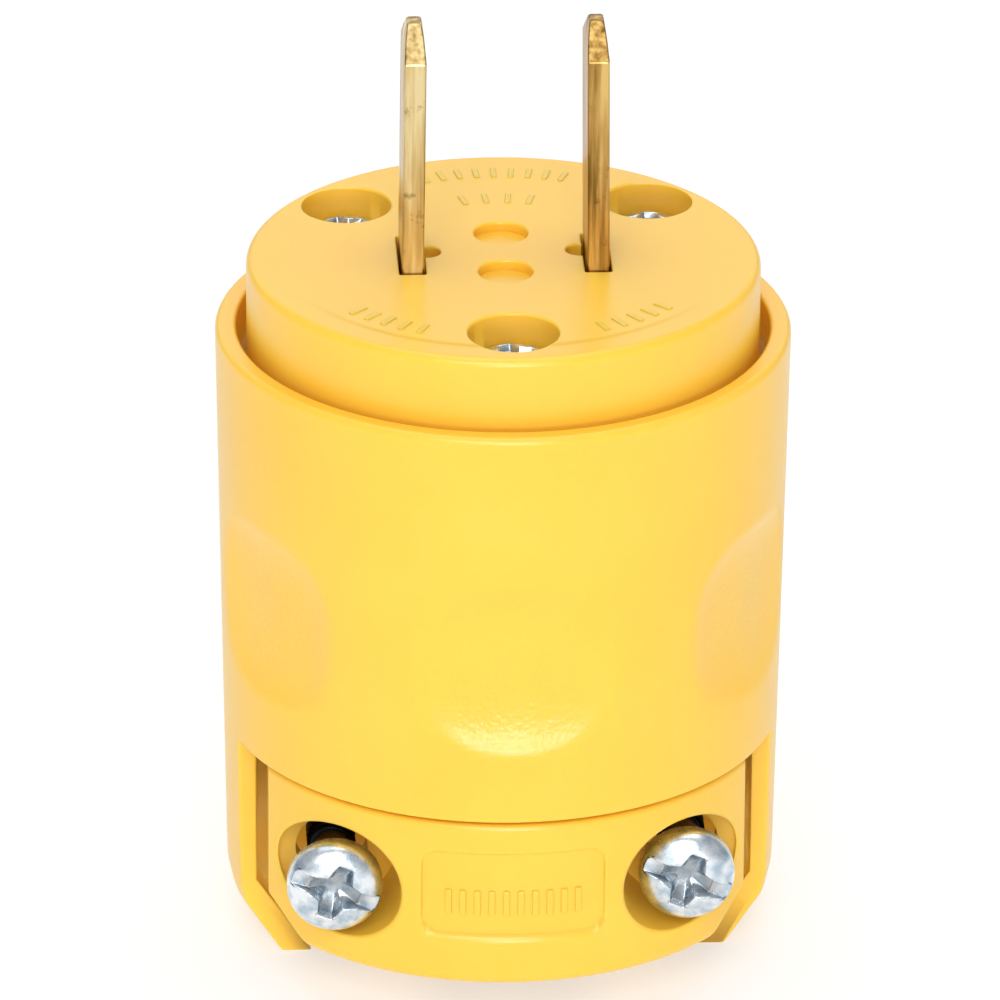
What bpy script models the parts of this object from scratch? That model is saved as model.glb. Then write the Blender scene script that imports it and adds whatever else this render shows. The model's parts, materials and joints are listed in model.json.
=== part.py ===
"""A two-blade straight plug with a wired-on cord clamp, standing on its cord end with the blades up.

The origin is on the plug's axis at the bottom of the shell, +Z points up along the blades, and the
cord clamp faces -Y. All sizes are in metres.
"""

import math

import bmesh
import bpy
from mathutils import Matrix, Vector

MM = 0.001
GAP = 0.3 * MM  # clearance between neighbouring pieces

# shell, a turned thermoplastic cup
RIM_R = 19.8 * MM  # outer radius just under the rim
FOOT_R = 19.1 * MM  # outer radius just above the bottom chamfer
RIM_Z = 45.4 * MM
RIM_ROUND = 0.9 * MM
CHAMFER_Z = 4.2 * MM  # height of the bottom chamfer
BASE_R = 16.45 * MM  # outer radius of the bottom ring
RECESS_R = 18.45 * MM  # the bore that takes the face's flange
LEDGE_Z = 40.4 * MM
BORE_R = 17.2 * MM  # the wiring space
WEB_Z = 17.9 * MM  # floor of the wiring space

# the opening in the shell's lower front, where the clamp plate sits
WINDOW_Z = 16.4 * MM
LEG_FRONT_Y = -5.6 * MM
POST_FRONT_Y = -2.0 * MM
LEG_IN_X = 17.2 * MM
LEG_BEND_Z = 5.5 * MM
LEG_FOOT_X = 13.45 * MM

# cord channel and its two toothed jaws
CHANNEL_X = 7.8 * MM
CHANNEL_FRONT_Y = -8.0 * MM
BACK_JAW_Y = 6.5 * MM
TOOTH = 0.8 * MM
TOOTH_PITCH = 4.0 * MM
BACK_TOOTH_Z = 3.0 * MM  # first tooth of the fixed jaw

# thumb dimples round the shell
DIMPLES = 6
DIMPLE_Z = 27.9 * MM
DIMPLE_HALF_W = 6.8 * MM
DIMPLE_HALF_H = 6.4 * MM
DIMPLE_DEEP = 1.0 * MM

# face, the round cover that the blades come out of
FACE_R = 17.65 * MM
FACE_Z = 50.3 * MM
FACE_ROUND = 1.0 * MM
FACE_UNDER_Z = 45.3 * MM
SKIRT_IN_R = 15.9 * MM
FLANGE_R = 18.05 * MM
FLANGE_Z = 42.9 * MM
FACE_FOOT_Z = LEDGE_Z + GAP

# blades, standard 12.7 mm spacing
BLADE_X = 6.35 * MM
BLADE_HALF_T = 0.75 * MM
BLADE_HALF_W = 3.175 * MM
BLADE_TIP_Z = 66.9 * MM
BLADE_NECK_T = 0.7 * MM  # half thickness where a blade passes through the face
BLADE_NECK_Z = 50.6 * MM
SLOT_HALF_T = 1.1 * MM
SLOT_HALF_W = 3.5 * MM
SHOULDER_HALF_W = 4.5 * MM
TERMINAL_HALF_W = 4.0 * MM
TERMINAL_Z = 34.3 * MM  # height of the terminal screws

# terminal block behind the face
BLOCK_R = 15.5 * MM
BLOCK_TOP_Z = FACE_UNDER_Z - GAP
BLOCK_PLATE_Z = 41.5 * MM
CORE_X = 5.2 * MM
CORE_Y = 7.5 * MM
CORE_Z = 27.0 * MM

# screws, all of one thread size
SHANK_R = 1.7 * MM
HOLE_R = SHANK_R + GAP
SCREW_LONG = 19.05 * MM
FACE_SCREWS = {
    "front": (0.0, -13.2 * MM),
    "left": (-10.45 * MM, 8.95 * MM),
    "right": (10.45 * MM, 8.95 * MM),
}
FACE_HEAD_R = 2.7 * MM
FACE_HEAD_H = 1.5 * MM
FACE_SEAT_Z = 47.1 * MM
FACE_BORE_R = 3.15 * MM
BOSS_R = 4.0 * MM
BOSS_Z = 39.0 * MM
BOSS_HOLE_Z = 26.0 * MM
INSERT_R = 2.7 * MM
INSERT_LOW_Z = 31.9 * MM

# clamp plate and its screws
PLATE_R = 18.9 * MM
PLATE_HALF_W = 16.5 * MM
PLATE_LOW_Z = 3.7 * MM
PLATE_CORNER = 2.7 * MM
EAR_Y = -7.2 * MM
PLATE_JAW_Y = -4.8 * MM
PLATE_JAW_X = 7.3 * MM
CLAMP_SCREW_X = 12.15 * MM
CLAMP_SCREW_Z = 10.0 * MM
CLAMP_HEAD_R = 3.3 * MM
CLAMP_HEAD_H = 2.2 * MM
CLAMP_HEAD_Y = {"left": -16.0 * MM, "right": -14.8 * MM}  # front of each head
CLAMP_SLOT_TURN = math.radians(-15)
CLAMP_BORE_X = 11.75 * MM
CLAMP_BORE_R = 4.1 * MM
CLAMP_SEAT_Y = -9.4 * MM
PANEL_HALF_W = 6.3 * MM
PANEL_HALF_H = 3.15 * MM
PANEL_DEEP = 0.35 * MM
PANEL_Z = 10.8 * MM
NUT_FLATS = 6.35 * MM
NUT_T = 2.6 * MM
NUT_Y = 0.7 * MM  # front of the nuts

BIG = 30.0 * MM  # past the outside of the object


def linear(srgb):
    return tuple(c / 12.92 if c <= 0.04045 else ((c + 0.055) / 1.055) ** 2.4 for c in srgb)


def make_material(name, srgb, roughness, metallic=0.0):
    material = bpy.data.materials.new(name)
    material.use_nodes = True
    shader = material.node_tree.nodes["Principled BSDF"]
    shader.inputs["Base Color"].default_value = (*linear(srgb), 1.0)
    shader.inputs["Roughness"].default_value = roughness
    shader.inputs["Metallic"].default_value = metallic
    return material


def add_object(name, bm, material=None):
    """Turns a bmesh into an object with faces pointing out. Without a material it is a hidden cutter."""
    bmesh.ops.recalc_face_normals(bm, faces=bm.faces)
    mesh = bpy.data.meshes.new(name)
    bm.to_mesh(mesh)
    bm.free()
    obj = bpy.data.objects.new(name, mesh)
    bpy.context.scene.collection.objects.link(obj)
    if material:
        mesh.materials.append(material)
        mesh.shade_smooth()
        mesh.set_sharp_from_angle(angle=math.radians(35))
    else:
        obj.hide_render = True
        obj.display_type = "WIRE"
    return obj


def combine(target, tool, operation="DIFFERENCE"):
    modifier = target.modifiers.new(tool.name, "BOOLEAN")
    modifier.operation = operation
    modifier.solver = "EXACT"
    modifier.object = tool


def arc(centre, radius, start, end, steps):
    """Points of an arc, angles in degrees."""
    turns = [math.radians(start + (end - start) * i / steps) for i in range(steps + 1)]
    return [(centre[0] + radius * math.cos(t), centre[1] + radius * math.sin(t)) for t in turns]


def loft(rings):
    """A closed solid through rings of the same number of points, with flat ends."""
    bm = bmesh.new()
    loops = [[bm.verts.new(point) for point in ring] for ring in rings]
    for low, high in zip(loops, loops[1:]):
        for i in range(len(low)):
            j = (i + 1) % len(low)
            bm.faces.new((low[i], low[j], high[j], high[i]))
    bm.faces.new(loops[0])
    bm.faces.new(loops[-1])
    return bm


def turned(outline, steps):
    """A solid of revolution about Z from (radius, z) points that start and end on the axis."""
    bm = bmesh.new()
    pole = [bm.verts.new((0, 0, outline[0][1])), bm.verts.new((0, 0, outline[-1][1]))]
    rings = []
    for radius, z in outline[1:-1]:
        turns = [2 * math.pi * i / steps for i in range(steps)]
        rings.append([bm.verts.new((radius * math.cos(t), radius * math.sin(t), z)) for t in turns])
    for i in range(steps):
        j = (i + 1) % steps
        bm.faces.new((pole[0], rings[0][i], rings[0][j]))
        bm.faces.new((pole[1], rings[-1][i], rings[-1][j]))
        for low, high in zip(rings, rings[1:]):
            bm.faces.new((low[i], low[j], high[j], high[i]))
    return bm


def tube(inner, outer, low, high, steps):
    """A ring about Z."""
    bm = bmesh.new()
    corners = ((inner, low), (outer, low), (outer, high), (inner, high))
    columns = []
    for i in range(steps):
        turn = 2 * math.pi * i / steps
        columns.append([bm.verts.new((r * math.cos(turn), r * math.sin(turn), z)) for r, z in corners])
    for i in range(steps):
        here, there = columns[i], columns[(i + 1) % steps]
        for k in range(4):
            m = (k + 1) % 4
            bm.faces.new((here[k], there[k], there[m], here[m]))
    return bm


def prism(outline, low, high, axis="Z"):
    """An outline pushed along an axis. It is given in XY for Z, in XZ for Y and in YZ for X."""
    place = {
        "Z": lambda u, v, w: (u, v, w),
        "Y": lambda u, v, w: (u, w, v),
        "X": lambda u, v, w: (w, u, v),
    }[axis]
    return loft([[place(u, v, w) for u, v in outline] for w in (low, high)])


def box(low, high):
    (x0, y0, z0), (x1, y1, z1) = low, high
    return prism([(x0, y0), (x1, y0), (x1, y1), (x0, y1)], z0, z1)


def rod(centre, radius, low, high, axis="Z", steps=24):
    return prism(arc(centre, radius, 0, 360 - 360 / steps, steps - 1), low, high, axis)


def shell_radius(z):
    """Outer radius of the shell's straight, slightly tapered wall."""
    rise = (z - CHAMFER_Z) / (RIM_Z - RIM_ROUND - CHAMFER_Z)
    return FOOT_R + (RIM_R - FOOT_R) * rise


def dimple_cutter(turn):
    """A shallow rounded-square bowl laid on the shell's wall, its mouth out in the air."""
    rows = ((0.4, 0.84), (0.72, 0.46), (0.9, 0.17), (1.0, 0.0))  # (share of the outline, share of the depth)
    steps = 20
    squareness = 2.6
    bm = bmesh.new()

    def point(share, i, radius):
        c, s = math.cos(2 * math.pi * i / steps), math.sin(2 * math.pi * i / steps)
        across = share * DIMPLE_HALF_W * math.copysign(abs(c) ** (2 / squareness), c)
        up = share * DIMPLE_HALF_H * math.copysign(abs(s) ** (2 / squareness), s)
        angle = turn + across / FOOT_R
        return bm.verts.new((radius * math.sin(angle), -radius * math.cos(angle), DIMPLE_Z + up))

    wall = shell_radius(DIMPLE_Z)
    rings = [[point(share, i, wall - DIMPLE_DEEP * deep) for i in range(steps)] for share, deep in rows]
    rings.append([point(1.0, i, wall + 2 * MM) for i in range(steps)])
    floor = bm.verts.new(((wall - DIMPLE_DEEP) * math.sin(turn), -(wall - DIMPLE_DEEP) * math.cos(turn), DIMPLE_Z))
    top = bm.verts.new(((wall + 2 * MM) * math.sin(turn), -(wall + 2 * MM) * math.cos(turn), DIMPLE_Z))
    for i in range(steps):
        j = (i + 1) % steps
        bm.faces.new((floor, rings[0][i], rings[0][j]))
        bm.faces.new((top, rings[-1][i], rings[-1][j]))
        for low, high in zip(rings, rings[1:]):
            bm.faces.new((low[i], low[j], high[j], high[i]))
    return bm


def toothed(jaw_y, tip_y, first_z, teeth):
    """(y, z) points of a jaw's toothed face, from the bottom up."""
    points = []
    for i in range(teeth):
        z = first_z + i * TOOTH_PITCH
        points += [(jaw_y, z - TOOTH), (tip_y, z), (jaw_y, z + TOOTH)]
    return points


def make_shell(material):
    outer = [(0, 0), (BASE_R, 0), (FOOT_R - 0.3 * MM, CHAMFER_Z - 0.5 * MM), (FOOT_R, CHAMFER_Z + 0.9 * MM)]
    rim = arc((RIM_R - RIM_ROUND, RIM_Z - RIM_ROUND), RIM_ROUND, 0, 90, 4)
    inner = [
        (RECESS_R + 0.2 * MM, RIM_Z),
        (RECESS_R, RIM_Z - 0.3 * MM),
        (RECESS_R, LEDGE_Z),
        (BORE_R, LEDGE_Z),
        (BORE_R, WEB_Z),
        (0, WEB_Z),
    ]
    shell = add_object("shell", turned(outer + rim + inner, 72), material)

    for name, (x, y) in FACE_SCREWS.items():
        boss = add_object(f"boss_{name}", face_boss(x, y))
        combine(shell, boss, "UNION")
        hole = add_object(f"boss_hole_{name}", rod((x, y), HOLE_R, BOSS_HOLE_Z, BOSS_Z + MM))
        combine(shell, hole)
        seat = add_object(f"insert_seat_{name}", rod((x, y), INSERT_R + GAP, INSERT_LOW_Z - GAP, BOSS_Z + MM))
        combine(shell, seat)

    def window_ring(z, half_width):
        right = [(BIG, -BIG), (BIG, LEG_FRONT_Y), (half_width, LEG_FRONT_Y), (half_width, POST_FRONT_Y)]
        return [(x, y, z) for x, y in right + [(-x, y) for x, y in reversed(right)]]

    foot_slope = (LEG_IN_X - LEG_FOOT_X) / LEG_BEND_Z
    levels = (
        (-MM, LEG_FOOT_X - foot_slope * MM),
        (LEG_BEND_Z, LEG_IN_X),
        (WINDOW_Z, LEG_IN_X),
    )
    window = add_object("window", loft([window_ring(z, half_width) for z, half_width in levels]))
    combine(shell, window)

    back = toothed(BACK_JAW_Y, BACK_JAW_Y - TOOTH, BACK_TOOTH_Z, 3)
    channel_outline = [(CHANNEL_FRONT_Y, -MM), (BACK_JAW_Y, -MM), *back, (BACK_JAW_Y, 20 * MM), (CHANNEL_FRONT_Y, 20 * MM)]
    combine(shell, add_object("channel", prism(channel_outline, -CHANNEL_X, CHANNEL_X, "X")))

    for side, name in ((-1, "left"), (1, "right")):
        inner, outer = sorted((side * 0.7 * MM, side * 6.8 * MM))
        core = box((inner, BACK_JAW_Y + 1.8 * MM, -MM), (outer, 13.2 * MM, 14 * MM))
        combine(shell, add_object(f"back_core_{name}", core))
    for side, name in ((-1, "left"), (1, "right")):
        x = side * CLAMP_SCREW_X
        screw_hole = add_object(f"clamp_hole_{name}", rod((x, CLAMP_SCREW_Z), HOLE_R, -4 * MM, 12.2 * MM, "Y"))
        combine(shell, screw_hole)
        half = NUT_FLATS / 2 + GAP
        low = (x - half, NUT_Y - GAP, -MM)
        high = (x + half, NUT_Y + NUT_T + GAP, CLAMP_SCREW_Z + NUT_FLATS / math.sqrt(3) + GAP)
        combine(shell, add_object(f"nut_pocket_{name}", box(low, high)))
    for i in range(DIMPLES):
        combine(shell, add_object(f"dimple_{i}", dimple_cutter(2 * math.pi * i / DIMPLES)))
    return shell


def face_boss(x, y):
    """A post for one face screw, with a rib that joins it to the shell's wall."""
    out = math.degrees(math.atan2(y, x))
    round_side = arc((x, y), BOSS_R, out + 50, out + 310, 14)
    reach = (BORE_R + 0.9 * MM) / math.hypot(x, y)
    side = Vector((-y, x)).normalized() * 2.6 * MM
    tail = [(x * reach + s * side.x, y * reach + s * side.y) for s in (-1, 1)]
    return prism(round_side + tail, WEB_Z - MM, BOSS_Z)


def make_face(material):
    edge = arc((FACE_R - FACE_ROUND, FACE_Z - FACE_ROUND), FACE_ROUND, 0, 90, 4)
    outline = [
        (0, FACE_UNDER_Z),
        (SKIRT_IN_R, FACE_UNDER_Z),
        (SKIRT_IN_R, FACE_FOOT_Z),
        (FLANGE_R, FACE_FOOT_Z),
        (FLANGE_R, FLANGE_Z),
        (FACE_R, FLANGE_Z),
        *edge,
        (0, FACE_Z),
    ]
    face = add_object("face", turned(outline, 64), material)
    for name, (x, y) in FACE_SCREWS.items():
        combine(face, add_object(f"face_bore_{name}", rod((x, y), FACE_BORE_R, FACE_SEAT_Z, FACE_Z + MM)))
        combine(face, add_object(f"face_hole_{name}", rod((x, y), HOLE_R, FACE_UNDER_Z - MM, FACE_Z)))
    for side, name in ((-1, "left"), (1, "right")):
        x = side * BLADE_X
        low = (x - SLOT_HALF_T, -SLOT_HALF_W, FACE_UNDER_Z - MM)
        combine(face, add_object(f"blade_slot_{name}", box(low, (x + SLOT_HALF_T, SLOT_HALF_W, FACE_Z + MM))))
        inner = sorted((side * (BLADE_X - 2.0 * MM), side * (BLADE_X - 0.9 * MM)))
        notch = box((inner[0], -1.0 * MM, FACE_Z - 1.2 * MM), (inner[1], 2.2 * MM, FACE_Z + MM))
        combine(face, add_object(f"slot_notch_{name}", notch))
    for name, y in (("back", 3.7 * MM), ("front", -2.9 * MM)):
        mark = rod((0, y), 2.05 * MM, FACE_Z - 0.6 * MM, FACE_Z + MM)
        combine(face, add_object(f"round_recess_{name}", mark))
    return face


def make_terminal_block(material):
    plate = add_object("terminal_block", rod((0, 0), BLOCK_R, BLOCK_PLATE_Z, BLOCK_TOP_Z, steps=48), material)
    core = add_object("block_core", box((-CORE_X, -CORE_Y, CORE_Z), (CORE_X, CORE_Y, BLOCK_PLATE_Z + MM)))
    combine(plate, core, "UNION")
    for name, (x, y) in FACE_SCREWS.items():
        combine(plate, add_object(f"block_hole_{name}", rod((x, y), HOLE_R, BLOCK_PLATE_Z - MM, BLOCK_TOP_Z + MM)))
    for side, name in ((-1, "left"), (1, "right")):
        x = side * BLADE_X
        half_t, half_w = BLADE_HALF_T + GAP, SHOULDER_HALF_W + GAP
        low = (x - half_t, -half_w, BLOCK_PLATE_Z - MM)
        combine(plate, add_object(f"block_slot_{name}", box(low, (x + half_t, half_w, BLOCK_TOP_Z + MM))))
    relief = rod((0, TERMINAL_Z), HOLE_R, -CORE_X - MM, CORE_X + MM, "X")
    combine(plate, add_object("block_relief", relief))
    return plate


def make_blade(name, side, material):
    """Stacked rectangles: terminal end, shoulder under the face, neck in its slot, contact length, thinned tip."""
    levels = (
        (29.0 * MM, TERMINAL_HALF_W - 0.6 * MM, BLADE_HALF_T),
        (29.6 * MM, TERMINAL_HALF_W, BLADE_HALF_T),
        (41.7 * MM, TERMINAL_HALF_W, BLADE_HALF_T),
        (42.1 * MM, SHOULDER_HALF_W, BLADE_HALF_T),
        (44.3 * MM, SHOULDER_HALF_W, BLADE_HALF_T),
        (44.7 * MM, BLADE_HALF_W, BLADE_NECK_T),
        (BLADE_NECK_Z, BLADE_HALF_W, BLADE_NECK_T),
        (BLADE_NECK_Z + 0.2 * MM, BLADE_HALF_W, BLADE_HALF_T),
        (BLADE_TIP_Z - 3.0 * MM, BLADE_HALF_W, BLADE_HALF_T),
        (BLADE_TIP_Z - 0.3 * MM, BLADE_HALF_W - 0.6 * MM, 0.45 * MM),
        (BLADE_TIP_Z, BLADE_HALF_W - 0.9 * MM, 0.3 * MM),
    )
    rings = [[(-t, -w, z), (t, -w, z), (t, w, z), (-t, w, z)] for z, w, t in levels]
    blade = add_object(name, loft(rings), material)
    blade.location.x = side * BLADE_X
    hole = rod((0, TERMINAL_Z), HOLE_R, side * BLADE_X - 2 * MM, side * BLADE_X + 2 * MM, "X")
    combine(blade, add_object(f"{name}_hole", hole))
    return blade


def head_outline(radius, height):
    """(radius, z) points of a pan head, from its seat at z = 0 to its crown on the axis."""
    return [
        (radius, 0),
        (radius, 0.4 * height),
        (0.9 * radius, 0.72 * height),
        (0.68 * radius, 0.92 * height),
        (0.4 * radius, height),
        (0, height),
    ]


def cross_recess(top, deep, reach):
    """A tapering cross that a Phillips bit fits."""
    rings = []
    for z, long, wide in ((top + 0.2 * MM, reach, 0.26 * reach), (top - deep, 0.45 * reach, 0.18 * reach)):
        corners = [(long, -wide), (long, wide), (wide, wide)]
        ring = []
        for quarter in range(4):
            turned_by = Matrix.Rotation(quarter * math.pi / 2, 2)
            ring += [turned_by @ Vector(corner) for corner in corners]
        rings.append([(p.x, p.y, z) for p in ring])
    return loft(rings)


def make_screw(name, head_r, head_h, long, material, slotted=False):
    """A pan-head screw along Z with its seat at the origin and its shank below."""
    shank = [(0, -long), (SHANK_R - 0.5 * MM, -long), (SHANK_R, -long + 0.8 * MM), (SHANK_R, 0)]
    screw = add_object(name, turned(shank + head_outline(head_r, head_h), 24), material)
    recess = add_object(f"{name}_cross", cross_recess(head_h, 0.55 * head_h, 0.62 * head_r))
    recess.parent = screw
    combine(screw, recess)
    if slotted:
        slot = box((-BIG, -0.55 * MM, 0.62 * head_h), (BIG, 0.55 * MM, head_h + MM))
        groove = add_object(f"{name}_slot", slot)
        groove.parent = screw
        combine(screw, groove)
    return screw


def make_clamp_plate(material):
    """A D-shaped block: curved front, two ears for the screws and a toothed jaw behind."""
    half_angle = math.degrees(math.asin(PLATE_HALF_W / PLATE_R))
    front = arc((0, 0), PLATE_R, 270 - half_angle, 270 + half_angle, 24)
    rear = [(PLATE_HALF_W, EAR_Y), (PLATE_JAW_X, EAR_Y), (PLATE_JAW_X, PLATE_JAW_Y)]
    outline = front + rear + [(-x, y) for x, y in reversed(rear)]
    plate = add_object("clamp_plate", prism(outline, PLATE_LOW_Z, WINDOW_Z - GAP), material)
    first = PLATE_LOW_Z + 1.8 * MM
    tips = toothed(PLATE_JAW_Y, PLATE_JAW_Y + TOOTH, first, 3)
    teeth_outline = [(PLATE_JAW_Y - MM, first - TOOTH), *tips, (PLATE_JAW_Y - MM, tips[-1][1])]
    teeth = add_object("plate_teeth", prism(teeth_outline, -PLATE_JAW_X + 0.4 * MM, PLATE_JAW_X - 0.4 * MM, "X"))
    combine(plate, teeth, "UNION")
    for across, wide in ((-3.2 * MM, "left"), (3.2 * MM, "right")):
        for depth, deep in ((-14.2 * MM, "front"), (-8.8 * MM, "back")):
            half = 2.2 * MM
            core = box((across - half, depth - half, PLATE_LOW_Z - MM), (across + half, depth + half, 14.3 * MM))
            combine(plate, add_object(f"plate_core_{deep}_{wide}", core))
    for side, name in ((-1, "left"), (1, "right")):
        corner = [
            (side * (PLATE_HALF_W + MM), PLATE_LOW_Z + PLATE_CORNER + MM),
            (side * (PLATE_HALF_W - PLATE_CORNER - MM), PLATE_LOW_Z - MM),
            (side * (PLATE_HALF_W + MM), PLATE_LOW_Z - MM),
        ]
        combine(plate, add_object(f"plate_corner_{name}", prism(corner, -BIG, 0, "Y")))
        bore = rod((side * CLAMP_BORE_X, CLAMP_SCREW_Z), CLAMP_BORE_R, -BIG, CLAMP_SEAT_Y, "Y", 36)
        combine(plate, add_object(f"plate_bore_{name}", bore))
        hole = rod((side * CLAMP_SCREW_X, CLAMP_SCREW_Z), HOLE_R + 0.1 * MM, -BIG / 2, EAR_Y + MM, "Y")
        combine(plate, add_object(f"plate_hole_{name}", hole))
    combine(plate, add_object("plate_panel", panel_cutter()))
    return plate


def panel_cutter():
    """A rounded rectangle wrapped on the plate's curved front, which sinks a shallow panel into it."""
    corner = 1.2 * MM
    bm = bmesh.new()
    columns = []
    straight = PANEL_HALF_W - corner
    places = [PANEL_HALF_W - corner * (1 - math.cos(math.radians(a))) for a in (0, 30, 60, 90)]
    places = [-s for s in places] + [straight * i / 4 for i in range(-3, 4)] + places[::-1]
    for across in places:
        over = max(abs(across) - straight, 0)
        half = PANEL_HALF_H - corner + math.sqrt(max(corner**2 - over**2, 0))
        angle = across / PLATE_R
        column = []
        for radius, up in ((PLATE_R - PANEL_DEEP, -half), (PLATE_R + MM, -half), (PLATE_R + MM, half), (PLATE_R - PANEL_DEEP, half)):
            column.append(bm.verts.new((radius * math.sin(angle), -radius * math.cos(angle), PANEL_Z + up)))
        columns.append(column)
    for here, there in zip(columns, columns[1:]):
        for k in range(4):
            m = (k + 1) % 4
            bm.faces.new((here[k], there[k], there[m], here[m]))
    bm.faces.new(columns[0])
    bm.faces.new(columns[-1])
    return bm


def make_nut(name, x, material):
    corners = arc((x, CLAMP_SCREW_Z), NUT_FLATS / math.sqrt(3), 30, 330, 5)
    nut = add_object(name, prism(corners, NUT_Y, NUT_Y + NUT_T, "Y"), material)
    hole = rod((x, CLAMP_SCREW_Z), HOLE_R, NUT_Y - MM, NUT_Y + NUT_T + MM, "Y")
    combine(nut, add_object(f"{name}_hole", hole))
    return nut


def make_terminal(side, name, brass, steel):
    """The pressure plate and screw that hold a wire against the outside of a blade."""
    x = side * (BLADE_X + BLADE_HALF_T + 0.4 * MM)
    low = (min(x, x + side * 1.2 * MM), -3.6 * MM, TERMINAL_Z - 3.6 * MM)
    high = (max(x, x + side * 1.2 * MM), 3.6 * MM, TERMINAL_Z + 3.6 * MM)
    plate = add_object(f"terminal_clamp_{name}", box(low, high), brass)
    hole = rod((0, TERMINAL_Z), HOLE_R, x - 3 * MM, x + 3 * MM, "X")
    combine(plate, add_object(f"terminal_clamp_hole_{name}", hole))
    screw = make_screw(f"terminal_screw_{name}", 3.3 * MM, 2.0 * MM, 5.8 * MM, steel, slotted=True)
    screw.location = (x + side * (1.2 * MM + GAP), 0, TERMINAL_Z)
    screw.rotation_euler = (0, side * math.pi / 2, 0)


def main():
    for obj in list(bpy.data.objects):
        bpy.data.objects.remove(obj)
    yellow = make_material("yellow_plastic", (0.98, 0.80, 0.25), 0.3)
    insulator = make_material("block_plastic", (0.93, 0.91, 0.84), 0.45)
    brass = make_material("brass", (0.80, 0.66, 0.34), 0.32, 1.0)
    zinc = make_material("zinc_steel", (0.78, 0.82, 0.86), 0.3, 1.0)

    make_shell(yellow)
    make_face(yellow)
    make_terminal_block(insulator)
    make_clamp_plate(yellow)
    for side, name in ((-1, "left"), (1, "right")):
        make_blade(f"blade_{name}", side, brass)
        make_terminal(side, name, brass, zinc)
        make_nut(f"clamp_nut_{name}", side * CLAMP_SCREW_X, zinc)
        screw = make_screw(f"clamp_screw_{name}", CLAMP_HEAD_R, CLAMP_HEAD_H, SCREW_LONG, zinc, slotted=True)
        screw.location = (side * CLAMP_SCREW_X, CLAMP_HEAD_Y[name] + CLAMP_HEAD_H, CLAMP_SCREW_Z)
        screw.rotation_euler = (math.pi / 2, CLAMP_SLOT_TURN, 0)
    for name, (x, y) in FACE_SCREWS.items():
        screw = make_screw(f"face_screw_{name}", FACE_HEAD_R, FACE_HEAD_H, SCREW_LONG, zinc)
        screw.location = (x, y, FACE_SEAT_Z + GAP)
        insert = tube(HOLE_R, INSERT_R, INSERT_LOW_Z, BOSS_Z - GAP, 24)
        bmesh.ops.translate(insert, verts=insert.verts, vec=(x, y, 0))
        add_object(f"threaded_insert_{name}", insert, brass)


main()
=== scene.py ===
import json
import math

import bmesh
import bpy
from mathutils import Euler, Matrix, Vector

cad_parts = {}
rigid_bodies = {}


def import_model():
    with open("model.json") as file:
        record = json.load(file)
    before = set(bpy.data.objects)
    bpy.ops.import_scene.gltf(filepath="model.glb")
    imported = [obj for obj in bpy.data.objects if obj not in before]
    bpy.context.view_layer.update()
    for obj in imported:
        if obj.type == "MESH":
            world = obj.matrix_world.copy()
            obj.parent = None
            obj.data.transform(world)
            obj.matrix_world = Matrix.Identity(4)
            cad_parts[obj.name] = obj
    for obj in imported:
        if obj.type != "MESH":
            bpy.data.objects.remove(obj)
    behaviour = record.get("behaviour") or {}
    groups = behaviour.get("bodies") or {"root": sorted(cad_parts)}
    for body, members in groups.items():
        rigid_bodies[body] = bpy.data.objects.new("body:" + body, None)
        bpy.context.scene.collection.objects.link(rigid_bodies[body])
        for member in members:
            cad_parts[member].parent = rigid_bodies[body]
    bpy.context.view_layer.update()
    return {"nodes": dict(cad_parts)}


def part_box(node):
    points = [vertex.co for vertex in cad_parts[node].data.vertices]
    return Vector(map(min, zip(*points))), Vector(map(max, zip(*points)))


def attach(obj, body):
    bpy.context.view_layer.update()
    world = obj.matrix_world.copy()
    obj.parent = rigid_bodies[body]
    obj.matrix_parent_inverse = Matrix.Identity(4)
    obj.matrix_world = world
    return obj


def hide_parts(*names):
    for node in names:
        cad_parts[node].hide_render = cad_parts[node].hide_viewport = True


for leftover in list(bpy.data.objects):
    bpy.data.objects.remove(leftover)
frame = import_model()
scene = bpy.context.scene
mm = 0.001
clearance = 0.3 * mm  # between neighbouring pieces
print("frame loaded:", len(frame["nodes"]), "nodes")


# helpers for meshes


def addObject(name, bm):
    bmesh.ops.recalc_face_normals(bm, faces=bm.faces)
    mesh = bpy.data.meshes.new(name)
    bm.to_mesh(mesh)
    bm.free()
    obj = bpy.data.objects.new(name, mesh)
    scene.collection.objects.link(obj)
    return obj


def makePlain(obj):
    # the evaluated shape becomes the object's own mesh, with no modifier left
    graph = bpy.context.evaluated_depsgraph_get()
    mesh = bpy.data.meshes.new_from_object(obj.evaluated_get(graph))
    obj.modifiers.clear()
    obj.data = mesh


def weld(obj):
    bm = bmesh.new()
    bm.from_mesh(obj.data)
    bmesh.ops.remove_doubles(bm, verts=bm.verts, dist=0.004 * mm)
    bmesh.ops.dissolve_degenerate(bm, edges=bm.edges, dist=0.004 * mm)
    bm.normal_update()
    # level faces become as few polygons as they can, so that rounded edges meet clean flats
    flat = {f for f in bm.faces if abs(f.normal.z) > 0.99999}
    level = [e for e in bm.edges if len(e.link_faces) == 2 and flat.issuperset(e.link_faces)]
    corners = list({v for e in level for v in e.verts})
    bmesh.ops.dissolve_limit(bm, angle_limit=0.01, verts=corners, edges=level)
    bm.to_mesh(obj.data)
    bm.free()


def carve(obj, tools):
    # each tool is (operation, bmesh); all are used up
    helpers = []
    for i, (operation, shape) in enumerate(tools):
        tool = addObject(f"tool{i}", shape)
        helpers.append(tool)
        modifier = obj.modifiers.new(tool.name, "BOOLEAN")
        modifier.operation = operation
        modifier.solver = "EXACT"
        modifier.object = tool
    makePlain(obj)
    for tool in helpers:
        bpy.data.objects.remove(tool)
    weld(obj)


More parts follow.
